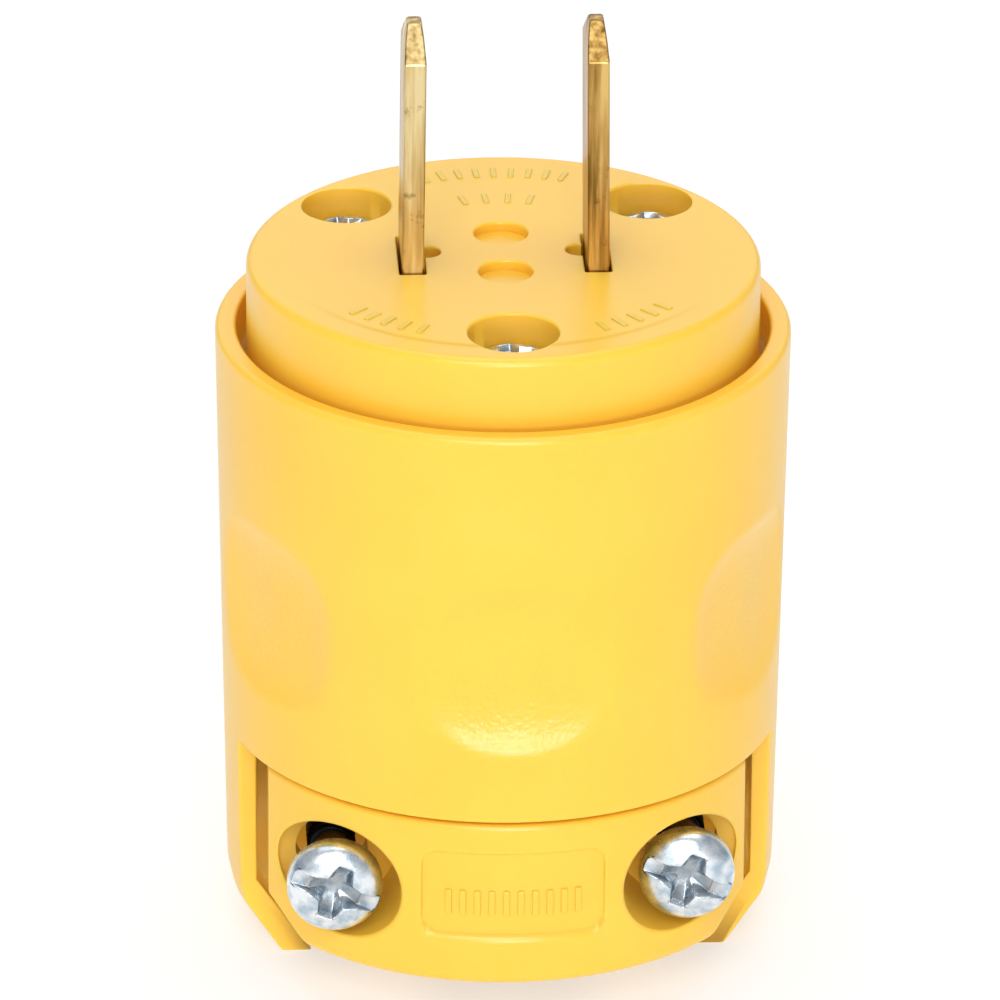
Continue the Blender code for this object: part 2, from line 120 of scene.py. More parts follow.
def smoothShade(obj, angle=24):
    # round stretches are shaded smooth, and large flats keep their own normal
    obj.data.shade_smooth()
    obj.data.set_sharp_from_angle(angle=math.radians(angle))
    normals = obj.modifiers.new("evenShading", "WEIGHTED_NORMAL")
    normals.keep_sharp = True
    normals.weight = 100
    makePlain(obj)


def softenEdges(obj, width, segments=2, angle=35, weightOf=None):
    # rounds the sharp edges; weightOf(edge middle, edge direction) gives each one a share of the width
    mesh = obj.data
    mesh.shade_smooth()
    if weightOf:
        bm = bmesh.new()
        bm.from_mesh(mesh)
        layer = bm.edges.layers.float.new("bevel_weight_edge")
        for edge in bm.edges:
            if len(edge.link_faces) == 2 and edge.calc_face_angle(0) > math.radians(angle):
                low, high = (v.co for v in edge.verts)
                edge[layer] = weightOf((low + high) / 2, (high - low).normalized())
        bm.to_mesh(mesh)
        bm.free()
    bevel = obj.modifiers.new("roundedEdges", "BEVEL")
    bevel.width = width
    bevel.segments = segments
    bevel.limit_method = "WEIGHT" if weightOf else "ANGLE"
    bevel.angle_limit = math.radians(angle)
    bevel.use_clamp_overlap = False
    bevel.miter_outer = "MITER_ARC"
    normals = obj.modifiers.new("evenShading", "WEIGHTED_NORMAL")
    normals.keep_sharp = False
    makePlain(obj)


def arcPoints(centre, radius, start, end, steps):
    turns = [math.radians(start + (end - start) * i / steps) for i in range(steps + 1)]
    return [(centre[0] + radius * math.cos(t), centre[1] + radius * math.sin(t)) for t in turns]


def rounded(points, radii, steps=5):
    # replaces the numbered corners of an open outline by arcs
    made = []
    for i, corner in enumerate(points):
        radius = radii.get(i)
        if not radius:
            made.append(tuple(corner))
            continue
        middle = Vector(corner)
        back = (Vector(points[i - 1]) - middle).normalized()
        ahead = (Vector(points[(i + 1) % len(points)]) - middle).normalized()
        half = back.angle(ahead) / 2
        centre = middle + (back + ahead).normalized() * radius / math.sin(half)
        first = middle + back * radius / math.tan(half) - centre
        turn = math.pi - 2 * half
        if back.x * ahead.y - back.y * ahead.x > 0:
            turn = -turn
        for k in range(steps + 1):
            spot = centre + Matrix.Rotation(turn * k / steps, 2) @ first
            made.append((spot.x, spot.y))
    return made


def joinColumns(bm, columns):
    # faces between neighbouring closed columns of vertices
    for here, there in zip(columns, columns[1:]):
        for k in range(len(here)):
            m = (k + 1) % len(here)
            bm.faces.new((here[k], there[k], there[m], here[m]))


def loft(rings):
    bm = bmesh.new()
    loops = [[bm.verts.new(point) for point in ring] for ring in rings]
    joinColumns(bm, loops)
    bm.faces.new(loops[0])
    bm.faces.new(loops[-1])
    return bm


def turned(outline, steps):
    # a solid of revolution about Z; the outline starts and ends on the axis
    bm = bmesh.new()
    bottom, top = (bm.verts.new((0, 0, outline[i][1])) for i in (0, -1))
    rings = []
    for radius, z in outline[1:-1]:
        turns = [2 * math.pi * i / steps for i in range(steps)]
        rings.append([bm.verts.new((radius * math.cos(t), radius * math.sin(t), z)) for t in turns])
    for i in range(steps):
        j = (i + 1) % steps
        bm.faces.new((bottom, rings[0][i], rings[0][j]))
        bm.faces.new((top, rings[-1][i], rings[-1][j]))
        for low, high in zip(rings, rings[1:]):
            bm.faces.new((low[i], low[j], high[j], high[i]))
    return bm


def prism(outline, low, high, axis="Z"):
    # the outline is given in XY for Z, in XZ for Y and in YZ for X
    place = {
        "Z": lambda u, v, w: (u, v, w),
        "Y": lambda u, v, w: (u, w, v),
        "X": lambda u, v, w: (w, u, v),
    }[axis]
    return loft([[place(u, v, w) for u, v in outline] for w in (low, high)])


def block(low, high):
    (x0, y0, z0), (x1, y1, z1) = low, high
    return prism([(x0, y0), (x1, y0), (x1, y1), (x0, y1)], z0, z1)


def rod(centre, radius, low, high, axis="Z", steps=48):
    return prism(arcPoints(centre, radius, 0, 360 - 360 / steps, steps - 1), low, high, axis)


def flare(low, high, lip, steps):
    # how far a cutter along Z has grown at each height, for a mouth at "high" with a rounded lip
    turns = [math.pi / 2 * i / steps for i in range(steps + 1)]
    curve = [(lip * (1 - math.cos(turn)), high - lip + lip * math.sin(turn)) for turn in turns]
    return [(0.0, low), *curve, (lip, high + mm)]


def flaredRod(centre, radius, low, high, lip, steps=64):
    rings = []
    for grow, z in flare(low, high, lip, 6):
        circle = arcPoints(centre, radius + grow, 0, 360 - 360 / steps, steps - 1)
        rings.append([(x, y, z) for x, y in circle])
    return loft(rings)


def flaredSlot(centre, halfX, halfY, corner, low, high, lip):
    rings = []
    for grow, z in flare(low, high, lip, 4):
        ring = []
        for k, (sx, sy) in enumerate(((1, 1), (-1, 1), (-1, -1), (1, -1))):
            middle = (centre[0] + sx * (halfX - corner), centre[1] + sy * (halfY - corner))
            ring += [(x, y, z) for x, y in arcPoints(middle, corner + grow, 90 * k, 90 * k + 90, 5)]
        rings.append(ring)
    return loft(rings)


def mergeInto(obj, others):
    bm = bmesh.new()
    bm.from_mesh(obj.data)
    for other in others:
        bm.from_mesh(other.data)
        bpy.data.objects.remove(other)
    bm.to_mesh(obj.data)
    bm.free()


def finishPiece(obj, material, body, slotName, *nodes):
    obj.data.materials.clear()
    obj.data.materials.append(material)
    for polygon in obj.data.polygons:
        polygon.material_index = 0
    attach(obj, body)
    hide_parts(*nodes)


# helpers for node trees


def linear(hexColour):
    parts = [int(hexColour[i : i + 2], 16) / 255 for i in (1, 3, 5)]
    return (*[c / 12.92 if c <= 0.04045 else ((c + 0.055) / 1.055) ** 2.4 for c in parts], 1.0)


def setInputs(tree, node, inputs):
    # an input is a plain value, or another node's output to link
    for name, value in dict(inputs).items():
        if isinstance(value, bpy.types.NodeSocket):
            tree.links.new(value, node.inputs[name])
        else:
            node.inputs[name].default_value = value


def addNode(tree, kind, inputs=(), **settings):
    node = tree.nodes.new(kind)
    for name, value in settings.items():
        setattr(node, name, value)
    setInputs(tree, node, inputs)
    return node


def newMaterial(name):
    material = bpy.data.materials.new(name)
    material.use_nodes = True
    tree = material.node_tree
    coords = addNode(tree, "ShaderNodeTexCoord").outputs["Object"]
    return material, tree, tree.nodes["Principled BSDF"], coords


def newGeometryTree(name, labels):
    # a tree with one geometry and a number for each label
    tree = bpy.data.node_groups.new(name, "GeometryNodeTree")
    tree.interface.new_socket("Geometry", in_out="INPUT", socket_type="NodeSocketGeometry")
    for label in labels:
        tree.interface.new_socket(label, in_out="INPUT", socket_type="NodeSocketFloat")
    tree.interface.new_socket("Geometry", in_out="OUTPUT", socket_type="NodeSocketGeometry")
    return tree, tree.nodes.new("NodeGroupInput"), tree.nodes.new("NodeGroupOutput")


def runTree(obj, tree, values):
    # sets the named inputs by identifier, before the object is evaluated
    modifier = obj.modifiers.new(tree.name, "NODES")
    modifier.node_group = tree
    for item in tree.interface.items_tree:
        if item.in_out == "INPUT" and item.name in values:
            modifier[item.identifier] = values[item.name]
    return modifier


def endTree(tree, output, geometry, material):
    # every tree ends in Realize Instances and Set Material
    realised = addNode(tree, "GeometryNodeRealizeInstances", {"Geometry": geometry}).outputs[0]
    painted = addNode(tree, "GeometryNodeSetMaterial", {"Geometry": realised, "Material": material})
    setInputs(tree, output, {"Geometry": painted.outputs[0]})


def barTree(name, sizes, edges, turn, material, ring=0):
    # one bar on each point of the guide, turned about Z to follow it from the object's axis;
    # with a ring, that many bars stand round the guide instead, and the guide is kept
    tree, given, output = newGeometryTree(name, sizes)
    size = given.outputs
    lengths = {axis: size[label] for axis, label in zip("XYZ", edges)}
    shape = addNode(tree, "ShaderNodeCombineXYZ", lengths).outputs[0]
    bar = addNode(tree, "GeometryNodeMeshCube", {"Size": shape}).outputs[0]
    points = size["Geometry"]
    if ring:
        circle = {"Vertices": ring, "Radius": size["Radius"]}
        points = addNode(tree, "GeometryNodeMeshCircle", circle).outputs[0]
    place = addNode(tree, "GeometryNodeInputPosition").outputs[0]
    parts = addNode(tree, "ShaderNodeSeparateXYZ", {0: place}).outputs
    angle = addNode(tree, "ShaderNodeMath", {0: parts["Y"], 1: parts["X"]}, operation="ARCTAN2").outputs[0]
    facing = addNode(tree, "ShaderNodeMath", {0: angle, 1: turn}, operation="ADD").outputs[0]
    rotation = addNode(tree, "ShaderNodeCombineXYZ", {"Z": facing}).outputs[0]
    inputs = {"Points": points, "Instance": bar, "Rotation": rotation}
    made = addNode(tree, "GeometryNodeInstanceOnPoints", inputs).outputs[0]
    if ring:
        joined = addNode(tree, "GeometryNodeJoinGeometry")
        tree.links.new(size["Geometry"], joined.inputs[0])
        tree.links.new(made, joined.inputs[0])
        made = joined.outputs[0]
    endTree(tree, output, made, material)
    return tree


# materials

nylonLook = {
    "colour": "#FAC843",  # yellow pigment
    "deepColour": "#F8C43E",  # slow drift of the pigment
    "roughness": 0.30,
    "cloudSize": 9.0,  # mm
    "grainSize": 0.30,  # mm, the mould's fine texture
    "gripGrainSize": 0.42,  # mm, coarser in the thumb dimples
}


def mouldedNylon():
    # moulded nylon: an even, slightly glossy skin with the faint grain of the mould
    look = nylonLook
    material, tree, shader, coords = newMaterial("mouldedNylon")
    inputs = {"Vector": coords, "Scale": 1 / (look["cloudSize"] * mm), "Detail": 2.0, "Roughness": 0.5}
    cloud = addNode(tree, "ShaderNodeTexNoise", inputs).outputs["Fac"]
    colours = addNode(tree, "ShaderNodeValToRGB", {"Fac": cloud})
    for stop, place, tone in zip(colours.color_ramp.elements, (0.3, 0.7), ("deepColour", "colour")):
        stop.position, stop.color = place, linear(look[tone])
    inputs = {"Value": cloud, "To Min": look["roughness"] - 0.04, "To Max": look["roughness"] + 0.05}
    gloss = addNode(tree, "ShaderNodeMapRange", inputs).outputs["Result"]
    inputs = {"Vector": coords, "Scale": 1 / (look["grainSize"] * mm), "Detail": 2.0}
    grain = addNode(tree, "ShaderNodeTexNoise", inputs).outputs["Fac"]
    inputs = {"Height": grain, "Strength": 0.12, "Distance": 0.02 * mm}
    skin = addNode(tree, "ShaderNodeBump", inputs).outputs[0]
    # the thumb dimples have a coarser spark-eroded texture that breaks up highlights
    grip = addNode(tree, "ShaderNodeAttribute", attribute_name="grip").outputs["Fac"]
    inputs = {"Vector": coords, "Scale": 1 / (look["gripGrainSize"] * mm), "Detail": 1.0}
    pits = addNode(tree, "ShaderNodeTexNoise", inputs).outputs["Fac"]
    masked = addNode(tree, "ShaderNodeMath", {0: pits, 1: grip}, operation="MULTIPLY").outputs[0]
    inputs = {"Height": masked, "Normal": skin, "Strength": 1.0, "Distance": 0.08 * mm}
    sparked = addNode(tree, "ShaderNodeBump", inputs).outputs[0]
    setInputs(tree, shader, {"Base Color": colours.outputs["Color"], "Roughness": gloss, "Normal": sparked})
    shader.inputs["IOR"].default_value = 1.53
    shader.inputs["Subsurface Weight"].default_value = 0.3  # light leaks a little through thin edges
    shader.inputs["Subsurface Radius"].default_value = (1.0, 0.5, 0.12)
    shader.inputs["Subsurface Scale"].default_value = 1.2 * mm
    return material


cleanBrassLook = {
    "bright": "#DAC693",
    "middle": "#BFA36A",
    "tarnish": "#937B49",
    "spot": "#54421F",
    "streakWidth": 0.5,  # mm across a rolling streak
    "spotSize": 1.3,  # mm between tarnish spots
}
tarnishedBrassLook = {**cleanBrassLook, "bright": "#D4B06A", "middle": "#A98346", "tarnish": "#725823"}


def rolledBrass(name, look, along="Z"):
    # rolled brass strip: streaks along the strip, brown tarnish spots and a worn sheen
    material, tree, shader, coords = newMaterial(name)
    across = 1 / (look["streakWidth"] * mm)
    scale = tuple(across * (0.06 if axis == along else 1.0) for axis in "XYZ")
    stretched = addNode(tree, "ShaderNodeMapping", {"Vector": coords, "Scale": scale}).outputs[0]
    inputs = {"Vector": stretched, "Scale": 1.0, "Detail": 4.0}
    streaks = addNode(tree, "ShaderNodeTexNoise", inputs).outputs["Fac"]
    colours = addNode(tree, "ShaderNodeValToRGB", {"Fac": streaks})
    stops = colours.color_ramp.elements
    stops.new(0.47)
    for stop, place, tone in zip(stops, (0.32, 0.47, 0.66), ("tarnish", "middle", "bright")):
        stop.position, stop.color = place, linear(look[tone])
    inputs = {"Vector": coords, "Scale": 1 / (look["spotSize"] * mm), "Detail": 5.0, "Roughness": 0.62}
    blots = addNode(tree, "ShaderNodeTexNoise", inputs).outputs["Fac"]
    inputs = {"Value": blots, "From Min": 0.60, "From Max": 0.72, "To Max": 0.75}
    mask = addNode(tree, "ShaderNodeMapRange", inputs).outputs["Result"]
    inputs = {0: mask, 6: colours.outputs["Color"], 7: linear(look["spot"])}
    spotted = addNode(tree, "ShaderNodeMix", inputs, data_type="RGBA").outputs[2]
    inputs = {"Value": streaks, "To Min": 0.42, "To Max": 0.22}
    worn = addNode(tree, "ShaderNodeMapRange", inputs).outputs["Result"]
    inputs = {"Height": streaks, "Strength": 0.25, "Distance": 0.03 * mm}
    scored = addNode(tree, "ShaderNodeBump", inputs).outputs[0]
    setInputs(tree, shader, {"Base Color": spotted, "Roughness": worn, "Normal": scored, "Metallic": 1.0})
    return material


zincLook = {
    "light": "#EAF0F4",
    "shade": "#AFC2D2",
    "paintedShade": "#1A2026",  # painted shade: near-black on the shank under a screw's head, for the shadow down in its bore
    "patchSize": 0.9,  # mm
    "grainSize": 0.12,  # mm
}


def zincPlate():
    # bright zinc-plated steel: a bluish passivated coat over fine cold-heading grain
    look = zincLook
    material, tree, shader, coords = newMaterial("zincPlatedSteel")
    inputs = {"Vector": coords, "Scale": 1 / (look["patchSize"] * mm), "Detail": 3.0}
    patches = addNode(tree, "ShaderNodeTexNoise", inputs).outputs["Fac"]
    coat = addNode(tree, "ShaderNodeValToRGB", {"Fac": patches})
    for stop, place, tone in zip(coat.color_ramp.elements, (0.32, 0.62), ("shade", "light")):
        stop.position, stop.color = place, linear(look[tone])
    # painted shade: where the mesh marks it, the coat is mixed towards near-black, for the shadow in the
    # bore and the shade in the cross recess
    paintedShade = addNode(tree, "ShaderNodeAttribute", attribute_name="paintedShade").outputs["Fac"]
    inputs = {0: paintedShade, 6: coat.outputs["Color"], 7: linear(look["paintedShade"])}
    shadedCoat = addNode(tree, "ShaderNodeMix", inputs, data_type="RGBA").outputs[2]
    inputs = {"Vector": coords, "Scale": 1 / (look["grainSize"] * mm), "Detail": 2.0}
    grain = addNode(tree, "ShaderNodeTexNoise", inputs).outputs["Fac"]
    inputs = {"Value": grain, "To Min": 0.2, "To Max": 0.4}
    satin = addNode(tree, "ShaderNodeMapRange", inputs).outputs["Result"]
    inputs = {"Height": grain, "Strength": 0.2, "Distance": 0.02 * mm}
    pressed = addNode(tree, "ShaderNodeBump", inputs).outputs[0]
    setInputs(tree, shader, {"Base Color": shadedCoat, "Roughness": satin, "Normal": pressed, "Metallic": 1.0})
    return material


ureaLook = {"colour": "#EDE8D8", "fleck": "#D9D1BA", "fleckSize": 0.5}  # mm


def mouldedUrea():
    # compression-moulded urea: a hard, dense cream with small flecks of filler
    look = ureaLook
    material, tree, shader, coords = newMaterial("mouldedUrea")
    inputs = {"Vector": coords, "Scale": 1 / (look["fleckSize"] * mm)}
    flecks = addNode(tree, "ShaderNodeTexVoronoi", inputs).outputs["Distance"]
    colours = addNode(tree, "ShaderNodeValToRGB", {"Fac": flecks})
    for stop, place, tone in zip(colours.color_ramp.elements, (0.12, 0.32), ("fleck", "colour")):
        stop.position, stop.color = place, linear(look[tone])
    inputs = {"Value": flecks, "To Min": 0.38, "To Max": 0.48}
    sheen = addNode(tree, "ShaderNodeMapRange", inputs).outputs["Result"]
    inputs = {"Height": flecks, "Strength": 0.1, "Distance": 0.02 * mm}
    specked = addNode(tree, "ShaderNodeBump", inputs).outputs[0]
    setInputs(tree, shader, {"Base Color": colours.outputs["Color"], "Roughness": sheen, "Normal": specked})
    return material


nylon = mouldedNylon()
cleanBrass = rolledBrass("rolledBrass", cleanBrassLook)
tarnishedBrass = rolledBrass("tarnishedBrass", tarnishedBrassLook)
zinc = zincPlate()
urea = mouldedUrea()
print("materials made")


# camera, light and floor

cameraSetup = {
    "target": (0.0, 0.0, 32.4),  # mm
    "distance": 764.0,  # mm
    "azimuth": -3.1,
    "elevation": 24.77,
    "roll": -0.39,
    "lens": 397.4,
    "shift": (-0.0019, -0.0078),
}


def addCamera(setup):
    data = bpy.data.cameras.new("camera")
    camera = bpy.data.objects.new("camera", data)
    scene.collection.objects.link(camera)
    turn, rise = math.radians(setup["azimuth"]), math.radians(setup["elevation"])
    back = Vector((math.sin(turn) * math.cos(rise), -math.cos(turn) * math.cos(rise), math.sin(rise)))
    camera.location = Vector(setup["target"]) * mm + back * setup["distance"] * mm
    aim = (-back).to_track_quat("-Z", "Y").to_matrix()
    camera.rotation_euler = (aim @ Matrix.Rotation(-math.radians(setup["roll"]), 3, "Z")).to_euler()
    data.lens = setup["lens"]
    data.sensor_width = 36.0
    data.shift_x, data.shift_y = setup["shift"]
    data.clip_start, data.clip_end = 0.05, 10.0
    scene.camera = camera


def addLight(name, place, target, size, power, colour="#FFFFFF"):
    data = bpy.data.lights.new(name, "AREA")
    data.shape = "RECTANGLE"
    data.size, data.size_y = size
    data.energy = power
    data.color = linear(colour)[:3]
    light = bpy.data.objects.new(name, data)
    scene.collection.objects.link(light)
    light.location = place
    light.rotation_euler = (Vector(target) - Vector(place)).to_track_quat("-Z", "Y").to_euler()


def addFloor():
    material, tree, shader, coords = newMaterial("paperFloor")
    # matt paper sweep: a faint unevenness keeps it from being one flat tone
    patches = addNode(tree, "ShaderNodeTexNoise", {"Vector": coords, "Scale": 6.0}).outputs["Fac"]
    colours = addNode(tree, "ShaderNodeValToRGB", {"Fac": patches})
    for stop, tone in zip(colours.color_ramp.elements, ("#BABABA", "#BCBCBC")):
        stop.color = linear(tone)
    inputs = {"Base Color": colours.outputs["Color"], "Roughness": 0.9, "Specular IOR Level": 0.1}
    setInputs(tree, shader, inputs)
    # it glows a little, as on a light table
    setInputs(tree, shader, {"Emission Color": linear("#FFFFFF"), "Emission Strength": 0.54})
    floor = addObject("floor", block((-2.0, -2.0, -0.01), (2.0, 2.0, -0.00005)))
    floor.data.materials.append(material)


world = bpy.data.worlds.new("studio")
scene.world = world
world.use_nodes = True
world.node_tree.nodes["Background"].inputs["Color"].default_value = linear("#F6F7FA")
world.node_tree.nodes["Background"].inputs["Strength"].default_value = 0.5
scene.view_settings.view_transform = "Standard"
addCamera(cameraSetup)
addLight("topSoftbox", (0.0, 0.1, 0.8), (0, 0, 0.03), (0.7, 0.7), 2.4)
addLight("backGlow", (0.0, 1.1, 0.58), (0, 0, 0.03), (1.5, 0.6), 2.6)
addLight("frontSoftbox", (-0.1, -0.85, 0.62), (0, 0, 0.03), (0.6, 0.45), 4.3)
addLight("flash", (0.02, -0.6, 0.12), (0, 0, 0.025), (0.16, 0.1), 0.9)
addFloor()
print("camera, light and floor made")


shellSizes = {
    "columns": 200,
    "baseRadius": 16.45,
    "footRadius": 19.1,
    "rimRadius": 19.8,
    "rimHeight": 45.4,
    "rimRound": 0.5,
    "lipRound": 0.3,
    "chamferHeight": 4.2,
    "recessRadius": 18.35,
    "ledgeHeight": 40.4,
    "boreRadius": 17.2,
    "webHeight": 17.9,
    "windowHeight": 16.4,
    "edgeRound": 0.16,
}
dimpleSizes = {
    "Count": 6.0,
    "Height": 27.9 * mm,
    "Half width": 6.8 * mm,
    "Half height": 6.4 * mm,
    "Depth": 1.1 * mm,
    "Steepness": 2.8,
    "Squareness": 2.6,
    "Edge softness": 0.05,
    "Wall radius": 19.1 * mm,
}
faceScrewBoxes = {name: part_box(f"face_screw_{name}") for name in ("front", "left", "right")}
faceScrewAxes = {name: ((low + high) / 2).xy for name, (low, high) in faceScrewBoxes.items()}
clampScrewBoxes = {name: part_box(f"clamp_screw_{name}") for name in ("left", "right")}
clampAxes = {name: ((low + high) / 2).xz for name, (low, high) in clampScrewBoxes.items()}
threadRadius = 1.7 * mm
holeRadius = threadRadius + clearance


def dimpleTree():
    # presses evenly spaced rounded-square dimples into the outer wall and marks them as grip
    tree, given, output = newGeometryTree("thumbDimples", dimpleSizes)
    place = addNode(tree, "GeometryNodeInputPosition").outputs[0]
    parts = addNode(tree, "ShaderNodeSeparateXYZ", {0: place}).outputs
    flat = addNode(tree, "ShaderNodeCombineXYZ", {"X": parts["X"], "Y": parts["Y"]}).outputs[0]
    outward = addNode(tree, "ShaderNodeVectorMath", {0: flat}, operation="NORMALIZE").outputs[0]
    radius = addNode(tree, "ShaderNodeVectorMath", {0: flat}, operation="LENGTH").outputs["Value"]
    # each step names its result, which later steps may use
    steps = (
        ("mirrored", "MULTIPLY", "Y", -1.0),
        ("turn", "ARCTAN2", "X", "mirrored"),
        ("counted", "MULTIPLY", "turn", "Count"),
        ("share", "DIVIDE", "counted", 2 * math.pi),
        ("nearest", "ROUND", "share"),
        ("left over", "SUBTRACT", "share", "nearest"),
        ("left turn", "MULTIPLY", "left over", 2 * math.pi),
        ("angle", "DIVIDE", "left turn", "Count"),
        ("arc", "MULTIPLY", "angle", "Wall radius"),
        ("across", "DIVIDE", "arc", "Half width"),
        ("climb", "SUBTRACT", "Z", "Height"),
        ("up", "DIVIDE", "climb", "Half height"),
        ("aside", "ABSOLUTE", "across"),
        ("apart", "ABSOLUTE", "up"),
        ("aside power", "POWER", "aside", "Squareness"),
        ("apart power", "POWER", "apart", "Squareness"),
        ("sum", "ADD", "aside power", "apart power"),
        ("exponent", "DIVIDE", "Steepness", "Squareness"),
        ("slope", "POWER", "sum", "exponent"),
        ("sharp bowl", "SUBTRACT", 1.0, "slope"),
        ("bowl square", "POWER", "sharp bowl", 2.0),
        ("edge square", "POWER", "Edge softness", 2.0),
        ("squares", "ADD", "bowl square", "edge square"),
        ("spread", "POWER", "squares", 0.5),
        ("doubled", "ADD", "sharp bowl", "spread"),
        ("bowl", "MULTIPLY", "doubled", 0.5),
        ("deep", "MULTIPLY", "bowl", "Depth"),
        ("inward", "MULTIPLY", "deep", -1.0),
        ("skin", "MULTIPLY", "Wall radius", 0.975),
        ("outside", "GREATER_THAN", "radius", "skin"),
        ("grip", "MULTIPLY", "bowl", "outside"),
    )
    known = {socket.name: socket for socket in (*given.outputs, *parts)}
    known["radius"] = radius
    for name, operation, *terms in steps:
        inputs = {i: known.get(term, term) for i, term in enumerate(terms)}
        known[name] = addNode(tree, "ShaderNodeMath", inputs, operation=operation).outputs[0]
    inputs = {0: outward, "Scale": known["inward"]}
    push = addNode(tree, "ShaderNodeVectorMath", inputs, operation="SCALE").outputs[0]
    inputs = {"Geometry": known["Geometry"], "Name": "grip", "Value": known["grip"]}
    marked = addNode(tree, "GeometryNodeStoreNamedAttribute", inputs).outputs[0]
    inputs = {"Geometry": marked, "Selection": known["outside"], "Offset": push}
    endTree(tree, output, addNode(tree, "GeometryNodeSetPosition", inputs).outputs[0], nylon)
    return tree


def teethPoints(jaw, tip, firstHeight, count=3, pitch=4.0 * mm, half=0.8 * mm):
    points = []
    for i in range(count):
        z = firstHeight + i * pitch
        points += [(jaw, z - half), (tip, z), (jaw, z + half)]
    return points


def bossShape(x, y, reach, low, high):
    # a post for one face screw, with a rib that joins it to the wall
    out = math.degrees(math.atan2(y, x))
    roundSide = arcPoints((x, y), 4.0 * mm, out + 50, out + 310, 28)
    share = reach / math.hypot(x, y)
    side = Vector((-y, x)).normalized() * 2.6 * mm
    tail = [(x * share + s * side.x, y * share + s * side.y) for s in (-1, 1)]
    return prism(roundSide + tail, low, high)


def makeShell():
    size = {key: value * mm for key, value in shellSizes.items() if key != "columns"}
    foot = [
        (0, 0),
        (size["baseRadius"], 0),
        (size["footRadius"] - 0.3 * mm, size["chamferHeight"] - 0.5 * mm),
        (size["footRadius"], size["chamferHeight"] + 0.9 * mm),
    ]
    foot = rounded(foot, {1: 0.3 * mm, 2: 1.0 * mm}, 4)
    heights = [7.0, 10.0, 13.0, 15.3, 17.6, 19.4] + [20.4 + 0.4 * i for i in range(39)] + [37.5, 40.0, 42.5]
    straightTop = size["rimHeight"] - size["rimRound"]
    slope = (size["rimRadius"] - size["footRadius"]) / (straightTop - size["chamferHeight"])
    wall = [(size["footRadius"] + slope * (z * mm - size["chamferHeight"]), z * mm) for z in heights]
    rim = arcPoints((size["rimRadius"] - size["rimRound"], straightTop), size["rimRound"], 0, 90, 8)
    lip = size["lipRound"]
    corner = arcPoints((size["recessRadius"] + lip, size["rimHeight"] - lip), lip, 90, 180, 4)
    ledge = [
        (size["recessRadius"], size["ledgeHeight"]),
        (size["boreRadius"], size["ledgeHeight"]),
        (size["boreRadius"], size["webHeight"]),
        (0, size["webHeight"]),
    ]
    mouth = corner + rounded(ledge, {1: 0.2 * mm, 2: 0.8 * mm}, 4)
    shell = addObject("shellCup", turned(foot + wall + rim + mouth, shellSizes["columns"]))
    runTree(shell, dimpleTree(), dimpleSizes)

    tools = []
    bossTop, bossHole, insertLow, insertRadius = 39.0 * mm, 26.0 * mm, 31.9 * mm, 2.7 * mm
    for x, y in faceScrewAxes.values():
        reach = size["boreRadius"] + 0.9 * mm
        tools.append(("UNION", bossShape(x, y, reach, size["webHeight"] - mm, bossTop)))
        tools.append(("DIFFERENCE", rod((x, y), holeRadius, bossHole, bossTop + mm)))
        seat = insertRadius + clearance
        tools.append(("DIFFERENCE", rod((x, y), seat, insertLow - clearance, bossTop + mm)))

    legFront, postFront, legIn, legBend, legFoot = -5.6 * mm, -2.0 * mm, 17.2 * mm, 5.5 * mm, 13.45 * mm
    footSlope = (legIn - legFoot) / legBend
    rings = []
    for z, halfWidth in ((-mm, legFoot - footSlope * mm), (legBend, legIn), (size["windowHeight"], legIn)):
        right = [(30 * mm, -30 * mm), (30 * mm, legFront), (halfWidth, legFront), (halfWidth, postFront)]
        rings.append([(x, y, z) for x, y in right + [(-x, y) for x, y in reversed(right)]])
    tools.append(("DIFFERENCE", loft(rings)))

    jaw, front, top = 6.5 * mm, -8.0 * mm, 20 * mm
    teeth = teethPoints(jaw, jaw - 0.8 * mm, 3.0 * mm)
    channel = [(front, -mm), (jaw, -mm), *teeth, (jaw, top), (front, top)]
    tools.append(("DIFFERENCE", prism(channel, -7.8 * mm, 7.8 * mm, "X")))
    for side in (-1, 1):
        inner, outer = sorted((side * 0.7 * mm, side * 6.8 * mm))
        tools.append(("DIFFERENCE", block((inner, jaw + 1.8 * mm, -mm), (outer, 13.2 * mm, 14 * mm))))
    for name, (x, z) in clampAxes.items():
        tools.append(("DIFFERENCE", rod((x, z), holeRadius, -4 * mm, 12.2 * mm, "Y")))
        nutLow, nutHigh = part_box(f"clamp_nut_{name}")
        half = 3.175 * mm + clearance
        low = (x - half, nutLow.y - clearance, -mm)
        tools.append(("DIFFERENCE", block(low, (x + half, nutHigh.y + clearance, nutHigh.z + clearance))))
    carve(shell, tools)

    def weightOf(middle, direction):
        outside = middle.xy.length > 0.8 * size["footRadius"] and middle.y < legFront + 0.1 * mm
        return 1.0 if outside and 0.3 * mm < middle.z < size["windowHeight"] + 0.1 * mm else 0.0

    softenEdges(shell, size["edgeRound"], weightOf=weightOf)
    finishPiece(shell, nylon, "shell", "yellow_plastic", "shell")


makeShell()
print("shell made")


faceSizes = {
    "columns": 192,
    "radius": 17.65,
    "top": 50.4,
    "edgeRound": 0.6,
    "border": 15.46,  # radius of the low border's inner edge
    "borderDrop": 0.12,
    "under": 45.3,
    "skirtIn": 15.9,
    "flangeRadius": 18.05,
    "flangeTop": 41.9,
    "foot": 40.7,
    "seat": 47.1,
    "boreRadius": 3.1,
    "boreLip": 0.2,
    "slotHalfThick": 0.92,
    "slotHalfWide": 3.32,
    "slotLip": 0.1,
    "notchRadius": 1.0,
    "recessRound": 2.05,
    "recessDeep": 0.7,
}
dashRows = (  # (middle radius, first angle, last angle, count), plain raised dashes
    (14.1, 70, 110, 9),
    (9.6, 76, 104, 4),
    (13.9, 222, 244, 5),
    (13.9, 296, 318, 5),
)
dashSizes = {"Length": 0.42 * mm, "Width": 1.5 * mm, "Height": 0.14 * mm}


